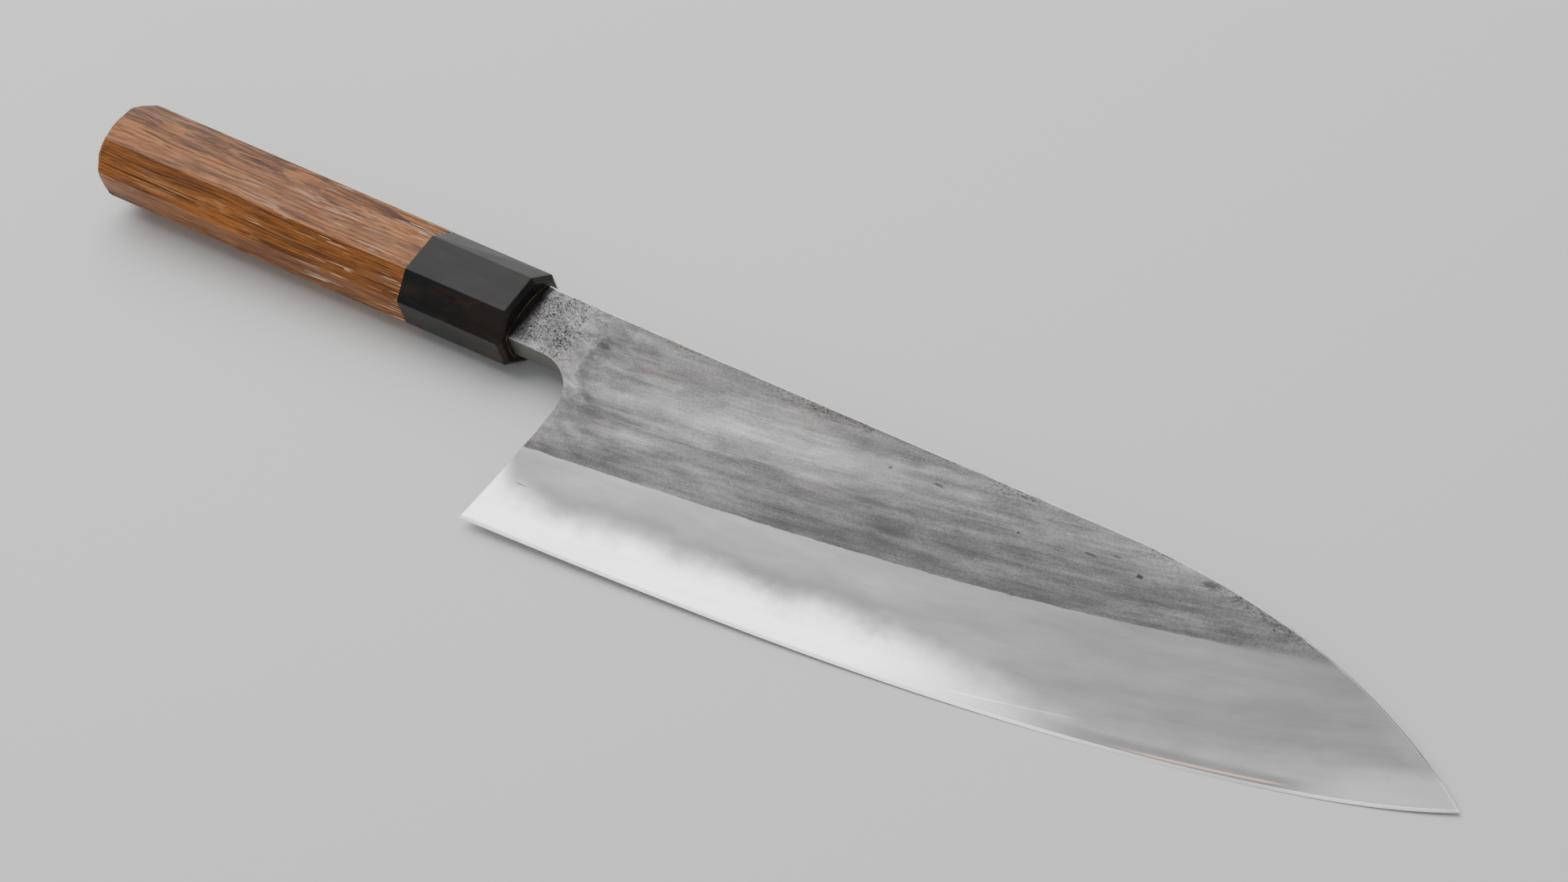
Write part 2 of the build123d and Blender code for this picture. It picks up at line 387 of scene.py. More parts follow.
def softened(name, node):
    # A copy of a CAD node with its outer edges rounded
    bm = bmesh.new()
    bm.from_mesh(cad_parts[node].data)
    bmesh.ops.remove_doubles(bm, verts=bm.verts, dist=1e-6)
    bmesh.ops.dissolve_limit(bm, angle_limit=math.radians(0.4), verts=bm.verts, edges=bm.edges)
    start = grip["buttEnd"] + grip["buttRun"]
    pastButt, pastFront = grip["pastEnds"]
    for width, highX in ((grip["buttEdge"], start - 2), (grip["edge"], pastFront)):
        bmesh.ops.bevel(bm, geom=crispEdges(bm, pastButt, highX), offset=width * mm, affect="EDGES",
                        segments=4, profile=0.5, material=-1, clamp_overlap=True)
    cutButt(bm, start)
    rollButt(bm, start)
    piece = finishMesh(name, bm, grip["sharpAngle"])
    level = piece.modifiers.new("level", "WEIGHTED_NORMAL")
    level.mode, level.weight, level.keep_sharp = "FACE_AREA", 60, True
    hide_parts(node)
    return piece


handle = softened("wooden_handle", "handle_body")
collar = softened("horn_ferrule", "ferrule")

seal = {
    "middleY": 0.4, "halfHeight": 8.8, "halfThickness": 3.9, "endBulge": 0.7, "sideBulge": 1.7,
    "lineRadius": 0.06, "sideSteps": 12,
}


def slotGlintLine():
    # A painted highlight: a thin amber line round the neck seal, where the edge of the ferrule's slot catches
    # the light
    points = []
    for side in range(4):
        for i in range(seal["sideSteps"]):
            t = -1 + 2 * i / seal["sideSteps"]
            if side % 2:
                y, z = seal["halfHeight"] + seal["endBulge"] * (1 - t * t), -t * seal["halfThickness"]
            else:
                y, z = t * seal["halfHeight"], seal["halfThickness"] + seal["sideBulge"] * (1 - t * t)
            if side >= 2:
                y, z = -y, -z
            points.append((y, z))
    curve = bpy.data.curves.new("slot_glint_line", "CURVE")
    curve.dimensions, curve.bevel_depth, curve.bevel_resolution = "3D", seal["lineRadius"] * mm, 2
    spline = curve.splines.new("POLY")
    spline.points.add(len(points) - 1)
    for point, (y, z) in zip(spline.points, points):
        point.co = (*place(0.0, seal["middleY"] + y, z), 1)
    spline.use_cyclic_u = True
    maker = bpy.data.objects.new("slot_glint_line_curve", curve)
    bpy.context.scene.collection.objects.link(maker)
    mesh = bpy.data.meshes.new_from_object(maker.evaluated_get(bpy.context.evaluated_depsgraph_get()))
    bpy.data.objects.remove(maker)
    mesh.shade_smooth()
    piece = bpy.data.objects.new("slot_glint_line", mesh)
    bpy.context.scene.collection.objects.link(piece)
    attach(piece, "root")
    return piece


slotGlint = slotGlintLine()
print("handle pieces made")


class Nodes:
    # A material's node tree with short calls for the nodes used here
    def __init__(self, name):
        self.material = bpy.data.materials.new(name)
        self.material.use_nodes = True
        self.tree = self.material.node_tree
        self.shader = self.tree.nodes["Principled BSDF"]

    def add(self, kind, inputs=(), **settings):
        node = self.tree.nodes.new("ShaderNode" + kind)
        for key, value in settings.items():
            setattr(node, key, value)
        for key, value in dict(inputs).items():
            self.feed(node.inputs[key], value)
        return node

    def feed(self, socket, value):
        if isinstance(value, bpy.types.NodeSocket):
            self.tree.links.new(value, socket)
        elif isinstance(value, tuple) and len(value) == 3 and socket.type == "RGBA":
            socket.default_value = (*value, 1)
        else:
            socket.default_value = value

    def math(self, operation, a, b=0.0):
        return self.add("Math", {0: a, 1: b}, operation=operation).outputs[0]

    def plus(self, first, *others):
        for other in others:
            first = self.math("ADD", first, other)
        return first

    def minus(self, a, b):
        return self.math("SUBTRACT", a, b)

    def times(self, a, b):
        return self.math("MULTIPLY", a, b)

    def size(self, a):
        return self.math("ABSOLUTE", a)

    def vector(self, operation, a, b=(0, 0, 0)):
        node = self.add("VectorMath", {0: a, 1: b}, operation=operation)
        return node.outputs["Value" if operation in ("LENGTH", "DOT_PRODUCT") else "Vector"]

    def axis(self, vector, index):
        return self.add("SeparateXYZ", {0: vector}).outputs[index]

    def colour(self, factor, a, b, blend="MIX"):
        node = self.add("Mix", {0: factor, 6: a, 7: b}, data_type="RGBA", blend_type=blend)
        return node.outputs[2]

    def number(self, factor, a, b):
        return self.add("Mix", {0: factor, 2: a, 3: b}).outputs[0]

    def band(self, value, low, high, toLow=0.0, toHigh=1.0, smooth=True):
        # A step from one number to another as the value goes from low to high
        kind = "SMOOTHSTEP" if smooth else "LINEAR"
        node = self.add("MapRange", {0: value, 1: low, 2: high, 3: toLow, 4: toHigh}, interpolation_type=kind)
        return node.outputs[0]

    def bands(self, value, rows):
        return [self.band(value, *row) for row in rows]

    def local(self, stretch=(1, 1, 1), shift=(0, 0, 0), turn=(0, 0, 0)):
        # Object coordinates in millimetres from the hub, turned, then divided by the stretch
        where = self.add("TexCoord").outputs["Object"]
        scale = tuple(1000 / s for s in stretch)
        centred = self.vector("SUBTRACT", where, tuple(hub))
        spin = self.add("VectorRotate", {"Vector": centred, "Rotation": turn}, rotation_type="EULER_XYZ")
        return self.add("Mapping", {"Vector": spin.outputs[0], "Scale": scale, "Location": shift}).outputs[0]

    def noise(self, vector, detail=4.0, rough=0.5, bend=0.0):
        given = {"Vector": vector, "Scale": 1.0, "Detail": detail, "Roughness": rough, "Distortion": bend}
        return self.add("TexNoise", given).outputs[0]

    def swing(self, vector, amount, detail=3.0, rough=0.55, bend=0.0):
        # Noise about zero, as strong as the amount says
        return self.times(self.minus(self.noise(vector, detail, rough, bend), 0.5), amount)

    def attribute(self, name):
        return self.add("Attribute", attribute_name=name).outputs["Fac"]

    def bump(self, height, strength, distance):
        given = {"Height": height, "Strength": strength, "Distance": distance * mm}
        return self.add("Bump", given).outputs[0]

    def finish(self, **values):
        names = {
            "baseColour": "Base Color", "metallic": "Metallic", "roughness": "Roughness",
            "normal": "Normal", "specular": "Specular IOR Level",
        }
        for key, value in values.items():
            self.feed(self.shader.inputs[names[key]], value)
        return self.material


# Tones are in stops: each step of 1 doubles the brightness of the metal.
# A row says from where to where, and what is added before and after it.
steel = {
    "scaleMetal": 0.72, "forged": -2.86,
    "overGrindSteps": ((0.0, 15.0, -0.50, 0.05), (11.0, 22.0, 0.0, 0.30), (24.0, 30.0, 0.0, -0.30)),
    "forgedSteps": ((85.0, 125.0, 0.0, -0.26), (140.0, 180.0, 0.0, 0.28)),
    "patches": 2.0, "clouds": 1.5, "softStreaks": 1.35, "streaks": 1.0, "fineStreaks": 1.1, "grain": 1.8,
    "hammerClouds": 2.4, "flakes": 1.2, "looseScale": 1.4,
    # The strip beside the ferrule is darkened by painted shade
    "pitRims": 0.55, "pits": 1.9, "ferruleShade": 1.4,
    "shoulderX": 18.6, "shoulderDrop": 3.0, "shoulderBow": 0.055,
    "shoulderHighlight": 0.26, "shoulderShade": 0.42,
    # The misty and the bright steel darken towards the tip: painted shade where the lamp's reflection falls
    # off along the blade
    "mistyHeel": -1.95, "mistyTip": -3.0, "haze": 1.0, "polish": 0.35,
    "bright": -0.12, "brightFall": (105.0, 175.0, 0.0, -0.4), "edgeShadow": 0.65,
    "cuttingBevel": -0.6, "bevelSteps": ((150.0, 205.0, 0.0, -0.7), (212.0, 236.0, 0.0, 0.7)),
    # The rim and the line along the back are painted highlights
    "wall": -2.4, "rim": -0.3, "backHighlight": -0.8,
    "border": 11.4,  # height of the bright band above the edge, and how it changes along the blade
    "borderSteps": (
        (18.0, 26.0, 5.0, 0.0), (30.0, 39.0, 0.0, -1.6), (42.0, 52.0, 0.0, 1.6),
        (118.0, 182.0, 0.0, -6.4), (196.0, 232.0, 0.0, 5.0),
    ),
    "bare": (1.0, 0.99, 1.0), "rust": (1.0, 0.93, 0.90), "scale": (0.95, 0.74, 0.60),
    "wallTint": (1.0, 0.94, 0.84), "copperLine": (0.50, 0.33, 0.26),
    "mistyRough": 0.37, "brightRough": 0.30, "forgedRough": (-4.0, -2.0, 0.52, 0.38),
}
# Single marks on the right face: place, half length along and across the blade, depth in stops
marks = (
    (167.7, 0.7, 0.9, 0.55, 2.0), (137.8, -1.3, 0.4, 0.35, 1.6), (200.5, 1.8, 0.45, 0.3, 1.5),
    (182.5, 5.5, 2.2, 1.2, 0.8), (22.3, 0.1, 2.3, 1.0, 0.8), (26.5, -13.4, 2.8, 1.3, 0.4),
    (102.3, 0.9, 0.5, 0.3, 1.4), (114.9, 1.6, 1.5, 0.4, 1.0), (155.0, 0.9, 1.6, 0.35, 0.9),
    (27.3, -39.9, 1.8, 0.22, 1.1), (160.5, 3.0, 1.3, 0.35, 0.8),
)
# Broad clouds over the forged faces: place along the blade and over the grind line, half sizes, lift in stops
clouds = (
    (64, 20.3, 40, 2.6, 0.42), (82, 13.6, 34, 1.8, -0.40), (88, 15.2, 7, 1.4, 0.55),
    (43.5, 10.2, 7, 2.3, 0.55), (33, 14.0, 8, 3.6, -0.50), (53, 3.6, 7, 2.6, 0.35),
    (84, 2.0, 16, 3.0, -0.25), (110, 8.5, 7, 3.0, -0.35), (42, 6.2, 5, 3.0, -0.35),
    (152, 13.0, 12, 4.0, -0.20), (190, 6.5, 10, 2.6, -0.35), (147, 21.5, 7, 2.0, -0.35),
    (180, 12.5, 12, 2.6, 0.30),
)


class BladeNodes(Nodes):
    # Places on the blade, and the streaks and grain that several parts of its finish share
    def __init__(self, name):
        super().__init__(name)
        self.along, self.over = self.attribute("alongBlade"), self.attribute("overEdge")
        self.grind, self.back = self.attribute("overGrind"), self.attribute("underBack")
        self.wall, self.rim = self.attribute("outlineWall"), self.attribute("outlineRim")
        self.point = self.local()
        self.up = self.axis(self.point, 1)
        self.rightSide = self.band(self.axis(self.point, 2), -0.1, 0.1)
        where = {0: self.along, 1: self.grind, 2: self.times(self.rightSide, 40)}
        self.flow = self.add("CombineXYZ", where).outputs[0]
        self.fine = self.swing(self.flowing(11, 0.22, 5), steel["fineStreaks"])
        self.streaks = self.swing(self.flowing(42, 0.9, 2), steel["streaks"], 4, 0.65)
        self.softStreaks = self.swing(self.flowing(38, 3.2, 12), steel["softStreaks"], 3, 0.5, 0.3)
        self.grain = self.swing(self.local((0.5, 0.5, 0.5)), steel["grain"], 4, 0.7)
        self.polish = self.swing(self.flowing(70, 0.14, 8), steel["polish"])
        self.flakes = self.noise(self.local((0.8, 0.5, 0.8), (3, 3, 0)), 4, 0.65)
        flaky = self.band(self.noise(self.flowing(22, 30, 7), 2), 0.42, 0.6)
        self.flaky = self.times(self.band(self.back, 4.5, 0.5), flaky)

    def flowing(self, length, width, shift=0.0):
        # A place on the blade that follows the grind line, in steps of a length and a width
        moved = {"Location": (shift, shift * 1.7, shift * 0.6), "Scale": (1 / length, 1 / width, 1)}
        return self.add("Mapping", {"Vector": self.flow, **moved}).outputs[0]

    def reach(self, where, x, y, halfLength, halfWidth):
        # Distance from the middle of a spot, where 1 is its rim
        offset = self.vector("SUBTRACT", where, (x, y, 0))
        return self.vector("LENGTH", self.vector("MULTIPLY", offset, (1 / halfLength, 1 / halfWidth, 0)))


def forgedTone(n):
    # Dark over the grind line, lighter streaks half way up, mottled again under the back
    drift = n.plus(n.grind, n.swing(n.flowing(26, 9, 4), 16))
    # Near the neck the hammer left clouds, and the long streaks only start past it
    pastNeck = n.band(n.plus(n.along, n.swing(n.flowing(9, 6, 14), 14)), 14.0, 34.0, 0.15, 1.0)
    hammered = n.swing(n.local((6.5, 3.6, 6), (4, 8, 0), (0, 0, 0.35)), steel["hammerClouds"], 4, 0.6, 0.6)
    tone = n.plus(
        steel["forged"],
        *n.bands(drift, steel["overGrindSteps"]),
        n.swing(n.flowing(34, 8, 1), steel["patches"], 3, 0.55, 0.5),
        n.swing(n.flowing(13, 3.4, 3), steel["clouds"], 4, 0.6, 0.4),
        *n.bands(n.along, steel["forgedSteps"]),
        n.times(hammered, n.band(n.along, 20.0, 46.0, 1.0, 0.2)),
        n.grain,
        n.times(n.band(n.grind, 5.0, 1.0), n.band(n.along, 150.0, 190.0, 0.0, -0.30)),
        n.times(pastNeck, n.plus(n.streaks, n.softStreaks, n.fine)),
    )
    drawn, softlyDrawn = n.times(n.streaks, 0.9), n.times(n.softStreaks, 0.5)
    for x, y, halfLength, halfWidth, lift in clouds:
        reach = n.plus(n.reach(n.flow, x, y, halfLength, halfWidth), drawn, softlyDrawn)
        tone = n.plus(tone, n.band(reach, 1.5, 0.2, 0.0, lift))
    return n.minus(tone, n.times(n.band(n.flakes, 0.48, 0.62), n.times(n.flaky, steel["flakes"])))


def neckTone(n, tone):
    # Deep scale pits with bright rims on the neck; also gives how deep the pits are
    neck = n.band(n.plus(n.along, n.swing(n.local((7, 7, 7), (2, 0, 0)), 14)), 13.0, 22.0, 1.0, 0.0)
    pitted = n.noise(n.local((0.62, 0.5, 0.62), (2, 5, 0), (0, 0, 0.6)), 3, 0.6, 1.3)
    rims = n.times(n.band(pitted, 0.36, 0.52, 1.0, 0.0), steel["pitRims"])
    crowded = n.band(n.noise(n.local((4, 4, 4), (6, 2, 0)), 3), 0.36, 0.56, 0.1, 1.0)
    crowded = n.times(crowded, n.band(n.along, 12.0, 17.0, 1.0, 0.35))
    pits = n.times(n.band(pitted, 0.54, 0.60), crowded)
    tone = n.plus(tone, n.times(neck, n.minus(rims, n.times(pits, steel["pits"]))))
    return tone, n.times(n.times(pits, neck), 1.4)


def shoulderTone(n, tone):
    # The shoulder that the hammer left where the neck runs into the blade: a painted highlight on its ridge,
    # then painted shade in the hollow beyond
    bowed = n.math("POWER", n.plus(n.up, steel["shoulderDrop"]), 2.0)
    past = n.minus(n.minus(n.along, steel["shoulderX"]), n.times(bowed, steel["shoulderBow"]))
    past = n.plus(past, n.swing(n.local((6, 5, 6), (5, 5, 5)), 11.0, 4, 0.65))
    tall = n.times(n.band(n.up, -18.0, -12.0), n.band(n.up, 6.0, 1.5))
    ridgeHighlight = n.times(n.band(n.size(past), 1.2, 0.2), steel["shoulderHighlight"])
    hollow = n.times(n.band(past, -0.4, 2.6), n.band(past, 8.0, 2.5, 0.0, steel["shoulderShade"]))
    return n.plus(tone, n.times(tall, n.minus(ridgeHighlight, hollow)))


def shadedStripAndScaleTone(n, tone):
    # Painted shade on a strip of the neck beside the ferrule, where its slot shades the steel, and loose
    # scale all over
    stripEnd = n.plus(n.band(n.up, -8.0, 9.0, 0.5, 1.7, smooth=False), n.swing(n.local((1.2, 1.2, 1.2)), 0.9))
    strip = n.band(n.minus(stripEnd, n.along), -0.3, 0.4)
    tone = n.minus(tone, n.times(strip, steel["ferruleShade"]))
    loose = n.band(n.noise(n.local((0.5, 0.4, 0.5), (9, 1, 4)), 2), 0.70, 0.76)
    return n.minus(tone, n.times(loose, steel["looseScale"]))


def mistyTone(n, depth):
    # The misty iron over the bright band, darker towards the tip as painted shade, with a little smoke along
    # its border near the heel
    haze = n.swing(n.flowing(20, 6, 6), steel["haze"], 3, 0.5)
    # Painted shade: the misty iron darkens from heel to tip as the lamp's reflection falls off
    fall = n.band(n.along, 45.0, 240.0, steel["mistyHeel"], steel["mistyTip"], smooth=False)
    heelShade = n.times(n.band(n.along, 26.0, 44.0, -0.3, 0.0), n.band(n.over, 24.0, 19.0))
    smoke = n.times(n.band(depth, -9.0, -2.5), n.band(n.along, 95.0, 150.0, -0.5, 0.0))
    smoke = n.times(smoke, n.band(n.along, 26.0, 36.0, 0.3, 1.0))
    return n.plus(n.plus(fall, heelShade, haze, n.polish), smoke)


def groundTone(n):
    # The wide bevel: misty iron, then bright steel up from the edge; also gives where it is bright
    border = n.plus(
        steel["border"], *n.bands(n.along, steel["borderSteps"]),
        n.swing(n.local((13, 13, 13), (0, 6, 0)), 6.0, 2, 0.5),
        n.swing(n.local((4.2, 3.0, 4), (9, 6, 0)), 2.4, 3, 0.6),
    )
    depth = n.minus(border, n.over)
    fade = n.plus(n.band(n.along, 122.0, 186.0, 1.0, 0.28), n.band(n.along, 218.0, 240.0, 0.0, 0.14))
    tipWrap = n.times(n.band(n.back, 7.0, 2.5), n.band(n.along, 222.0, 242.0, 0.0, 0.15))
    wisps = n.swing(n.local((2.2, 1.1, 2), (3, 1, 0), (0, 0, 0.5)), 3.0, 3, 0.6)
    wisps = n.band(n.plus(depth, wisps), -0.5, 5.5)
    veil = n.plus(n.times(n.band(depth, -4.6, 2.8), 0.72), n.times(wisps, 0.28))
    isBright = n.math("MAXIMUM", n.times(veil, fade), tipWrap)
    # Painted shade: the bright steel dims along the blade as the lamp's reflection falls off
    brightTone = n.plus(
        steel["bright"], n.times(n.polish, 0.8), n.swing(n.flowing(24, 3, 9), 0.5),
        n.band(n.along, *steel["brightFall"]),
    )
    tone = n.number(isBright, mistyTone(n, depth), brightTone)
    nearTip = n.times(n.band(n.along, 160.0, 176.0), n.band(n.along, 228.0, 218.0))
    shadowed = n.times(n.band(n.over, 4.4, 2.4), nearTip)
    tone = n.minus(tone, n.times(shadowed, steel["edgeShadow"]))
    scratch = n.minus(n.over, n.band(n.along, 140.0, 176.0, 2.3, 5.4, smooth=False))
    scratch = n.times(n.band(n.size(scratch), 0.28, 0.08), n.band(n.along, 141.0, 150.0))
    tone = n.plus(tone, n.times(scratch, n.band(n.along, 178.0, 170.0, 0.0, 0.4)))
    bevelTone = n.plus(steel["cuttingBevel"], n.fine, *n.bands(n.along, steel["bevelSteps"]))
    return n.number(n.band(n.over, 0.86, 0.74), tone, bevelTone), isBright


def markedAndHighlightedTone(n, tone):
    # Single marks, then a painted highlight along the back, drawn as rubbed-bright metal, the dark walls of
    # the outline and a painted highlight on the rim round them
    for x, y, halfLength, halfWidth, deep in marks:
        reach = n.reach(n.point, x, y, halfLength, halfWidth)
        spot = n.band(n.plus(reach, n.times(n.grain, 0.8)), 1.2, 0.4)
        tone = n.minus(tone, n.times(n.times(spot, n.rightSide), deep))
    # A painted highlight along the back, broken by noise like rubbed-bright metal and fading towards the tip
    backHighlight = n.band(n.noise(n.flowing(9, 9, 16), 3), 0.30, 0.50, 0.5, 1.0)
    backHighlight = n.times(n.band(n.back, 0.62, 0.28), backHighlight)
    backHighlight = n.times(backHighlight, n.band(n.along, 195.0, 235.0, 1.0, 0.35))
    tone = n.number(backHighlight, tone, n.math("MAXIMUM", tone, steel["backHighlight"]))
    tone = n.number(n.wall, tone, n.plus(steel["wall"], n.times(n.grain, 0.6)))
    # A painted highlight on the rounded rim, fading out towards the tip
    rim = n.times(n.rim, n.band(n.along, 205.0, 228.0, 0.7, 0.0))
    return n.number(rim, tone, n.math("MAXIMUM", tone, steel["rim"]))


def bladeTint(n, isForged):
    # Warm patches of rust, scale under the back and the yellower walls
    warm = n.band(n.noise(n.flowing(20, 6, 11), 4, 0.6), 0.46, 0.68, 0.0, 0.9)
    warm = n.times(warm, n.band(n.along, 80.0, 140.0, 1.0, 0.25))
    tint = n.colour(n.times(warm, isForged), steel["bare"], steel["rust"])
    rusty = n.times(n.times(n.flaky, isForged), n.band(n.flakes, 0.45, 0.58, 0.0, 0.8))
    rusty = n.times(rusty, n.band(n.along, 72.0, 110.0, 1.0, 0.15))
    tint = n.colour(rusty, tint, steel["scale"])
    return n.colour(n.times(n.wall, 0.8), tint, steel["wallTint"])


def copperShare(n):
    # A thin copper-coloured line just over the cutting bevel near the tip
    copper = n.minus(n.over, n.band(n.along, 177.0, 221.0, 1.2, 1.7, smooth=False))
    copper = n.times(n.band(n.size(copper), 0.38, 0.12), n.band(n.along, 182.0, 196.0))
    copper = n.times(n.times(copper, n.band(n.along, 224.0, 216.0)), n.rightSide)
    return n.times(copper, 0.6)


def bladeFinish(name):
    n = BladeNodes(name)
    forged, dug = neckTone(n, forgedTone(n))
    forged = shadedStripAndScaleTone(n, shoulderTone(n, forged))
    ground, isBright = groundTone(n)
    # The forged face ends on a slightly ragged line, which is soft near the tip
    ragged = n.plus(n.grind, n.swing(n.local((4, 4, 4)), 0.9, 5, 0.6))
    soft = n.band(n.along, 185.0, 212.0, 0.15, 2.2)
    isForged = n.band(ragged, n.times(soft, -1), soft)
    tone = markedAndHighlightedTone(n, n.number(isForged, ground, forged))
    base = n.colour(1.0, n.math("POWER", 2.0, tone), bladeTint(n, isForged), "MULTIPLY")
    base = n.colour(copperShare(n), base, steel["copperLine"])
    groundRough = n.number(isBright, steel["mistyRough"], steel["brightRough"])
    rough = n.number(isForged, groundRough, n.band(tone, *steel["forgedRough"]))
    rough = n.plus(rough, n.times(n.fine, 0.12), n.times(n.wall, 0.1))
    rise = n.plus(n.times(n.streaks, 0.3), n.times(n.fine, 0.25), n.times(n.grain, 0.5))
    rise = n.number(isForged, n.times(n.polish, 0.4), n.minus(rise, dug))
    metallic = n.number(isForged, 1.0, steel["scaleMetal"])
    return n.finish(baseColour=base, metallic=metallic, roughness=rough, normal=n.bump(rise, 0.5, 0.05))


wood = {
    "base": (0.29, 0.100, 0.027), "warm": (0.44, 0.157, 0.033), "dark": (0.048, 0.018, 0.008),
    "pale": (0.46, 0.23, 0.11), "fleck": (0.84, 0.62, 0.45),
    "pith": (0, -34, -37),          # the tree's middle, seen from the handle's axis
    "frontFlat": (0, 0.67, 0.74),   # the way that the flat between back and top faces
    "ringWarp": 2.6, "lineGap": 0.74,
    "paleBands": 0.6, "darkBands": 0.8, "figure": 0.82, "lines": 0.64, "darkPores": 0.6,
    "rough": (0.40, 0.60), "specular": 0.30,
}


def woodFinish(name):
    n = Nodes(name)
    point = n.local()
    along, height = n.axis(point, 0), n.axis(point, 2)
    section = n.vector("MULTIPLY", n.vector("SUBTRACT", point, wood["pith"]), (0, 1, 1))
    ringWave = n.times(n.noise(n.local((46, 8, 8), (4, 4, 4)), 3, 0.5, 0.4), wood["ringWarp"])
    ring = n.plus(n.vector("LENGTH", section), ringWave)

    def rings(width, length, shift):
        # A place counted in growth rings across and in lengths along the handle
        where = {0: n.math("DIVIDE", ring, width), 1: n.math("DIVIDE", along, length), 2: shift}
        return n.add("CombineXYZ", where).outputs[0]

    # Growth rings: broad warm and pale bands, narrower dark ones
    base = n.colour(n.band(n.noise(rings(2.6, 60, 2.0), 3, 0.6), 0.36, 0.64), wood["base"], wood["warm"])
    paleBand = n.band(n.noise(rings(2.2, 30, 9.0), 3, 0.6), 0.52, 0.70, 0.0, wood["paleBands"])
    base = n.colour(paleBand, base, wood["pale"])
    darkBand = n.band(n.noise(rings(0.9, 40, 5.0), 3, 0.6), 0.50, 0.68, 0.0, wood["darkBands"])
    base = n.colour(darkBand, base, wood["dark"])
    # Dark figure shows where a flat lies along the rings; on the side that faces down it is laid on more
    # strongly as painted shade
    outward = n.vector("DOT_PRODUCT", point, wood["frontFlat"])
    onFlat, lowSideShade = n.band(n.size(outward), 9.0, 10.8, 0.3, 1.0), n.band(height, 0.5, -5.0, 0.0, 1.0)
    shows = n.math("MAXIMUM", onFlat, lowSideShade)
    figure = n.band(n.noise(n.local((13, 1.7, 1.7), (8, 2, 5)), 4, 0.65, 0.8), 0.46, 0.58)
    base = n.colour(n.times(figure, n.times(shows, wood["figure"])), base, wood["dark"])
    # Fine dark lines, one to a ring
    phase = n.times(ring, 2 * math.pi / wood["lineGap"])
    wobble = n.times(n.noise(n.local((18, 3, 3)), 2), 9)
    lines = n.math("SINE", n.plus(phase, wobble))
    lineDepth = n.band(n.noise(n.local((25, 2, 2), (7, 7, 7)), 3, 0.6), 0.35, 0.65, 0.15, 1.0)
    base = n.colour(n.times(n.band(lines, -0.2, 0.7), n.times(lineDepth, wood["lines"])), base, wood["dark"])
    # Dark pores, and pale filled ones in clusters towards the ferrule
    darkPores = n.band(n.noise(n.local((6.0, 0.17, 0.17), (6, 1, 8)), 2), 0.57, 0.65)
    base = n.colour(n.times(darkPores, wood["darkPores"]), base, wood["dark"])
    palePores = n.band(n.noise(n.local((7.5, 0.3, 0.3), (2, 9, 4)), 0), 0.63, 0.70)
    clusters = n.band(n.noise(n.local((19, 2.6, 2.6), (5, 5, 1)), 1), 0.50, 0.62)
    flecks = n.times(n.times(palePores, clusters), n.band(along, -124.0, -45.0, 0.0, 0.9))
    flecks = n.times(flecks, n.band(height, 8.8, 9.3, 1.0, 0.6))
    base = n.colour(flecks, base, wood["fleck"])
    groove = n.times(n.band(lines, 0.2, 1.0), n.times(lineDepth, 0.6))
    hollow = n.plus(groove, n.plus(n.times(flecks, 0.6), darkPores))
    rough = n.number(n.math("MINIMUM", hollow, 1.0), *wood["rough"])
    bump = n.bump(n.times(hollow, -1.0), 0.35, 0.06)
    return n.finish(baseColour=base, roughness=rough, specular=wood["specular"], normal=bump)


horn = {
    "black": (0.009, 0.0087, 0.0085), "smoke": (0.016, 0.0158, 0.0155), "brown": (0.034, 0.021, 0.014),
    "rough": 0.20, "hairs": 0.10, "smudges": 0.16, "specular": 0.20,
}


def hornFinish(name):
    n = Nodes(name)
    point = n.local()
    cloud = n.noise(n.local((22, 5, 5)), 4, 0.6, 0.7)
    veins = n.noise(n.local((12, 3.0, 3.0), (2, 4, 1)), 4, 0.6, 0.5)
    base = n.colour(n.band(cloud, 0.4, 0.65), horn["black"], horn["smoke"])
    lowFlank = n.band(n.axis(point, 1), -3.0, -7.0, 0.3, 1.0)
    brown = n.plus(n.band(veins, 0.48, 0.64, 0.0, 0.7), n.band(n.axis(point, 0), -24.0, -6.0, 0.0, 0.3))
    base = n.colour(n.times(brown, lowFlank), base, horn["brown"])
    hair = n.noise(n.local((16, 0.25, 0.25), (4, 4, 4)), 3, 0.6)
    smudge = n.noise(n.local((7, 5, 5), (1, 2, 3)), 3, 0.55)
    rough = n.plus(horn["rough"], n.plus(n.times(hair, horn["hairs"]), n.times(smudge, horn["smudges"])))
    bump = n.bump(hair, 0.10, 0.02)
    return n.finish(baseColour=base, roughness=rough, specular=horn["specular"], normal=bump)


def plainFinish(name, base, rough, grain, dark=0.5):
    # One colour, darker in patches
    n = Nodes(name)
    mottle = n.noise(n.local((3, 3, 3)), 4, 0.6)
    tint = n.colour(n.band(mottle, 0.4, 0.6, 0.0, dark), base, tuple(c * 0.15 for c in base))
    bumpy = n.noise(n.local((grain, grain, grain)), 3, 0.6)
    uneven = n.band(bumpy, 0.3, 0.7, rough - 0.08, rough + 0.08)
    return n.finish(baseColour=tint, roughness=uneven, normal=n.bump(bumpy, 0.3, 0.05))


def dress(piece, material):
    piece.data.materials.clear()
    piece.data.materials.append(material)


steelFinish = bladeFinish("blade_steel")
for piece, slot in ((coreSteel, "core_steel"), (claddingRight, "clad_iron"), (claddingLeft, "clad_iron")):
    dress(piece, steelFinish)
dress(handle, woodFinish("oiled_handle_wood"))
dress(collar, hornFinish("polished_black_horn"))
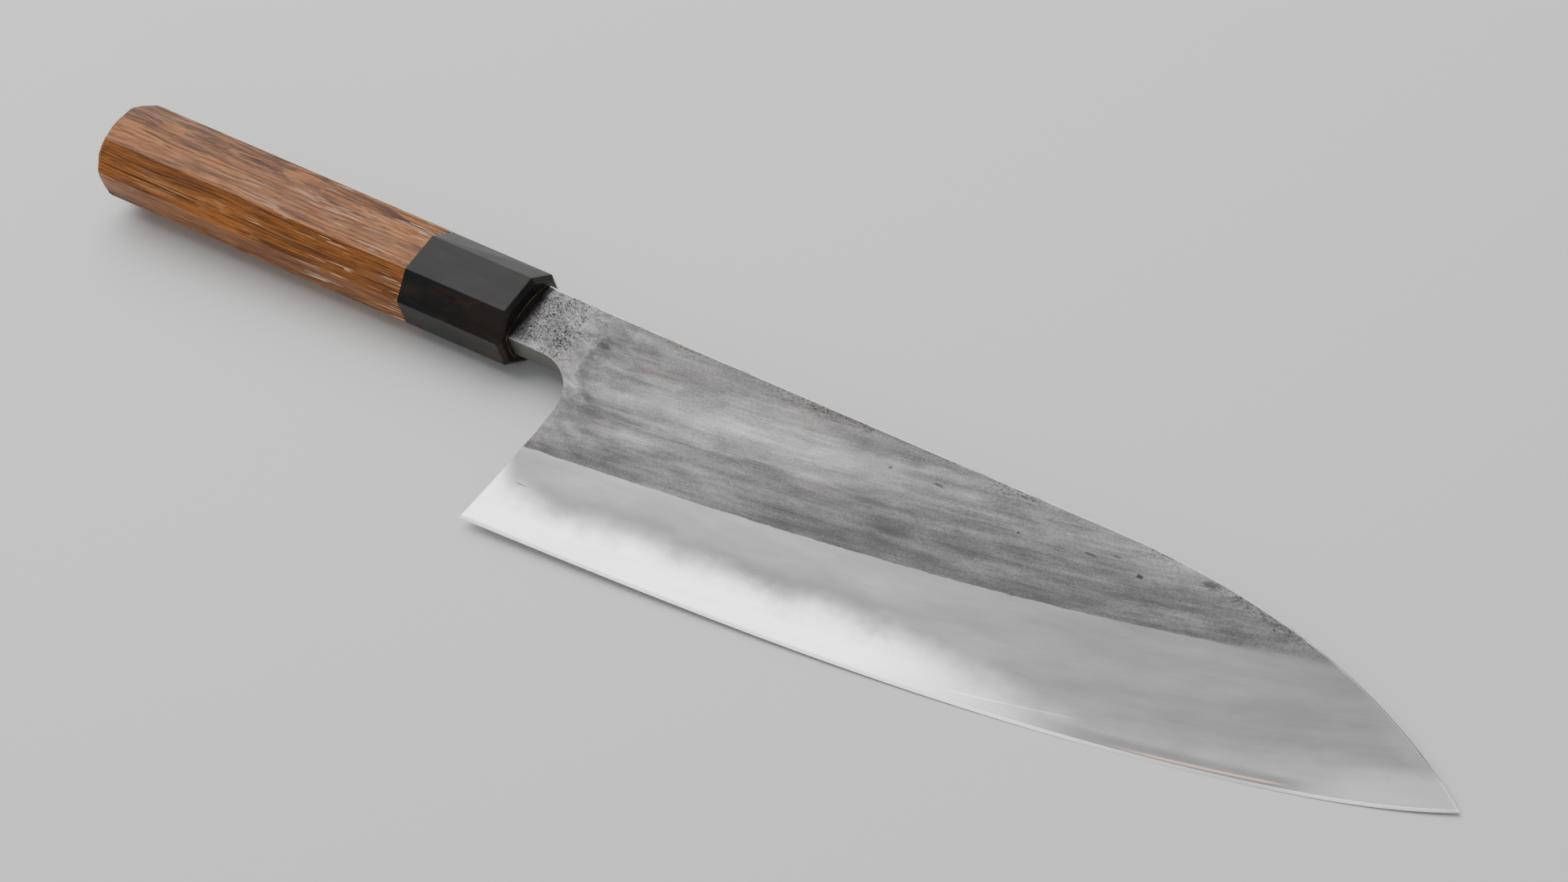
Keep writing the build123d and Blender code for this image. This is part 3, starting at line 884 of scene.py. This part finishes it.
# The amber line round the neck seal is a painted highlight on the slot's edge
dress(slotGlint, plainFinish("amber_slot_glint", (0.34, 0.22, 0.08), 0.4, 1.0, 1.0))
for node, material in (
    ("neck_seal", plainFinish("black_resin", (0.024, 0.022, 0.020), 0.5, 0.8)),
    ("tang_dowel", plainFinish("pale_dowel_wood", (0.55, 0.38, 0.22), 0.6, 0.5)),
    ("tang_adhesive", plainFinish("clear_amber_glue", (0.50, 0.33, 0.12), 0.35, 2.0)),
):
    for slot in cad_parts[node].material_slots:
        slot.material = material
print("finishes made")


stage = {
    "size": 6.0, "floor": (0.80, 0.80, 0.79), "floorRough": 0.75, "floorSpecular": 0.3,
    # The knife rests on the ferrule's lower front corner and on the belly of the edge near the tip
    "ferruleCorner": (-1.0, -5.3, -9.43), "bellyX": 198.0,
}


def floorPlane():
    # Where the floor touches the knife, and how it is turned to meet both resting places
    corner = place(*stage["ferruleCorner"])
    x = stage["bellyX"]
    belly = place(x, edgeY(x), 0)
    bellyRun = (edgeY(x + 1) - edgeY(x - 1)) / 2
    up = Vector((1, bellyRun, 0)).cross(belly - corner).normalized()
    if up.z < 0:
        up.negate()
    return belly, Vector((0, 0, 1)).rotation_difference(up)


def makeFloor():
    touch, turn = floorPlane()
    bm = bmesh.new()
    bmesh.ops.create_grid(bm, x_segments=2, y_segments=2, size=stage["size"] / 2)
    bmesh.ops.transform(bm, matrix=Matrix.Translation(touch) @ turn.to_matrix().to_4x4(), verts=bm.verts)
    mesh = bpy.data.meshes.new("floor")
    bm.to_mesh(mesh)
    bm.free()
    floor = bpy.data.objects.new("floor", mesh)
    bpy.context.scene.collection.objects.link(floor)
    n = Nodes("pale_floor")
    rough, specular = stage["floorRough"], stage["floorSpecular"]
    dress(floor, n.finish(baseColour=stage["floor"], roughness=rough, specular=specular))


lamps = {
    "window": {"toward": (-0.50, 0.40, 0.77), "distance": 1.3, "size": 1.6, "power": 23.5},
    "front": {"toward": (0.55, -0.75, 0.60), "distance": 1.6, "size": 1.0, "power": 3},
}
room = {"colour": (0.9, 0.92, 0.95, 1), "brightness": 0.34}


def makeLamps():
    middle = place(70, -10, 0)
    for name, lamp in lamps.items():
        light = bpy.data.lights.new(name, "AREA")
        light.shape, light.size, light.energy = "SQUARE", lamp["size"], lamp["power"]
        toward = Vector(lamp["toward"]).normalized()
        item = bpy.data.objects.new(name, light)
        item.location = middle + toward * lamp["distance"]
        item.rotation_mode = "QUATERNION"
        item.rotation_quaternion = (-toward).to_track_quat("-Z", "Y")
        bpy.context.scene.collection.objects.link(item)
    world = bpy.data.worlds.new("studio")
    world.use_nodes = True
    background = world.node_tree.nodes["Background"]
    background.inputs[0].default_value = room["colour"]
    background.inputs[1].default_value = room["brightness"]
    bpy.context.scene.world = world


camera = {
    "target": (74.94, -2.55, 0), "azimuth": 50.88, "elevation": 51.02, "roll": -20.29,
    "distance": 955.75, "lens": 98.13, "sensor": 36, "near": 0.05, "far": 20,
}


def makeCamera():
    turn, rise = math.radians(camera["azimuth"]), math.radians(camera["elevation"])
    back = Vector((math.sin(turn) * math.cos(rise), -math.cos(turn) * math.cos(rise), math.sin(rise)))
    data = bpy.data.cameras.new("camera")
    data.lens, data.sensor_width = camera["lens"], camera["sensor"]
    data.clip_start, data.clip_end = camera["near"], camera["far"]
    item = bpy.data.objects.new("camera", data)
    item.location = place(*camera["target"]) + back * camera["distance"] * mm
    item.rotation_mode = "QUATERNION"
    roll = Quaternion((0, 0, 1), math.radians(camera["roll"]))
    item.rotation_quaternion = (-back).to_track_quat("-Z", "Y") @ roll
    bpy.context.scene.collection.objects.link(item)
    bpy.context.scene.camera = item


makeFloor()
makeLamps()
makeCamera()
print("stage made")
